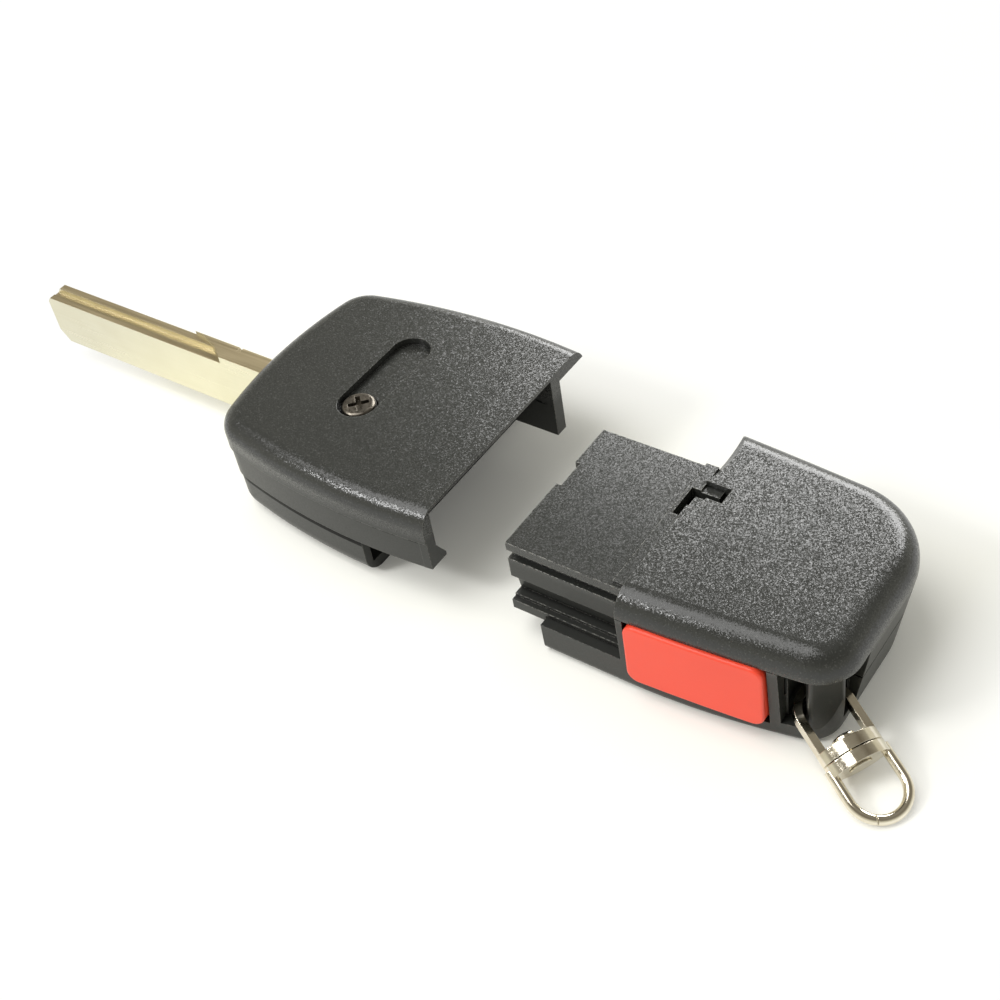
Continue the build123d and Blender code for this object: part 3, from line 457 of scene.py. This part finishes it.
def floor_material():
    mat = bpy.data.materials.new("pale_floor")
    mat.use_nodes = True
    tree = mat.node_tree
    tree.nodes.clear()
    out = tree.nodes.new("ShaderNodeOutputMaterial")
    diffuse = tree.nodes.new("ShaderNodeBsdfDiffuse")
    cloud = noise(tree, coords(tree), FLOOR_CLOUD, 3.0)
    colour = mix(tree, cloud, (0.97, 0.965, 0.905), (1.0, 0.995, 0.945))
    tree.links.new(colour, diffuse.inputs["Color"])
    white = tree.nodes.new("ShaderNodeEmission")
    white.inputs["Color"].default_value = (1, 1, 1, 1)
    white.inputs["Strength"].default_value = 1.0
    path = tree.nodes.new("ShaderNodeLightPath")
    seen = calc(tree, "MAXIMUM", path.outputs["Is Camera Ray"], path.outputs["Is Glossy Ray"])
    squares = [calc(tree, "MULTIPLY", off, off) for off in (outside(tree, "X"), outside(tree, "Y"))]
    far = calc(tree, "SQRT", calc(tree, "ADD", *squares))
    white_share = span(tree, far, 0.0, SHADE_FADE, *SHADE_SHARES)
    blend = tree.nodes.new("ShaderNodeMixShader")
    tree.links.new(calc(tree, "MULTIPLY", seen, white_share), blend.inputs["Fac"])
    tree.links.new(diffuse.outputs["BSDF"], blend.inputs[1])
    tree.links.new(white.outputs["Emission"], blend.inputs[2])
    below = tree.nodes.new("ShaderNodeMixShader")
    side = tree.nodes.new("ShaderNodeNewGeometry")
    clear = tree.nodes.new("ShaderNodeBsdfTransparent")
    tree.links.new(side.outputs["Backfacing"], below.inputs["Fac"])
    tree.links.new(blend.outputs["Shader"], below.inputs[1])
    tree.links.new(clear.outputs["BSDF"], below.inputs[2])
    tree.links.new(below.outputs["Shader"], out.inputs["Surface"])
    return mat


def floor():
    """Pale floor that keeps the shadows close to the object and turns white away from it."""
    mesh = bpy.data.meshes.new("floor")
    h = FLOOR_HALF
    mesh.from_pydata([(-h, -h, 0), (h, -h, 0), (h, h, 0), (-h, h, 0)], [], [(0, 1, 2, 3)])
    obj = bpy.data.objects.new("floor", mesh)
    bpy.context.collection.objects.link(obj)
    mesh.materials.append(floor_material())
    obj.location.z = -FLOOR_DROP
    return obj


stage_floor = floor()


# Light

def lamp(name, place, aim, size, power):
    data = bpy.data.lights.new(name, "AREA")
    data.shape = "RECTANGLE"
    data.size, data.size_y = size
    data.energy = power
    obj = bpy.data.objects.new(name, data)
    bpy.context.collection.objects.link(obj)
    obj.location = place
    obj.rotation_euler = (Vector(aim) - Vector(place)).to_track_quat("-Z", "Y").to_euler()
    return obj


lamp("overhead_softbox", (-0.30, -0.22, 0.95), (0.0, 0.0, 0.0), (0.72, 0.72), 6.0)
sheen = lamp("back_softbox", (-0.055, 0.50, 0.305), (0.03, 0.0, 0.01), (0.50, 0.26), 4.0)
lamp("front_softbox", (-0.44, -0.58, 0.65), (0.02, 0.0, 0.0), (0.22, 0.16), 3.4)

# The lamp at the back lights the object and leaves the floor alone
others = bpy.data.collections.new("not_the_floor")
others.objects.link(stage_floor)
for entry in others.collection_objects:
    entry.light_linking.link_state = "EXCLUDE"
sheen.light_linking.receiver_collection = others

# Reflections see a pale horizon, a darker wall and a ceiling; the camera sees white
ROOM = [(0.0, (0.80, 0.78, 0.70)), (0.34, (0.72, 0.70, 0.60)), (0.46, (0.38, 0.36, 0.31)),
        (0.80, (0.17, 0.15, 0.12)), (1.0, (0.30, 0.28, 0.24))]
AMBIENT = (0.52, 0.515, 0.475)


def studio():
    world = bpy.data.worlds.new("studio")
    bpy.context.scene.world = world
    world.use_nodes = True
    tree = world.node_tree
    tree.nodes.clear()
    out = tree.nodes.new("ShaderNodeOutputWorld")
    back = tree.nodes.new("ShaderNodeBackground")
    path = tree.nodes.new("ShaderNodeLightPath")
    height = calc(tree, "MULTIPLY", normal_part(tree, "Z"), -1.0)
    seen = mix(tree, path.outputs["Is Glossy Ray"], AMBIENT, ramp(tree, height, ROOM))
    seen = mix(tree, path.outputs["Is Camera Ray"], seen, (1.0, 1.0, 1.0))
    tree.links.new(seen, back.inputs["Color"])
    back.inputs["Strength"].default_value = 1.0
    tree.links.new(back.outputs["Background"], out.inputs["Surface"])


studio()


# Camera, placed as the photograph's was

CAMERA_FOCAL = 1575.537
CAMERA_TURN = (42.638, 43.876, -11.03)
CAMERA_PLACE_MM = Vector((126.146, -112.466, 154.672))
SENSOR_MM = 36
PICTURE_SIDE = 1000


def photo_camera():
    a, e, r = (math.radians(v) for v in CAMERA_TURN)
    toward = Vector((math.sin(a) * math.cos(e), -math.cos(a) * math.cos(e), math.sin(e)))
    right = Vector((math.cos(a), math.sin(a), 0))
    up = toward.cross(right)
    right, up = (math.cos(r) * right + math.sin(r) * up, -math.sin(r) * right + math.cos(r) * up)
    data = bpy.data.cameras.new("photo_camera")
    data.sensor_width = SENSOR_MM
    data.lens = CAMERA_FOCAL * SENSOR_MM / PICTURE_SIDE
    data.clip_start = 0.01
    obj = bpy.data.objects.new("photo_camera", data)
    bpy.context.collection.objects.link(obj)
    turn = Matrix((right, up, toward)).transposed().to_4x4()
    obj.matrix_world = Matrix.Translation(CAMERA_PLACE_MM * MM) @ turn
    bpy.context.scene.camera = obj


photo_camera()
bpy.context.scene.view_settings.view_transform = "Standard"
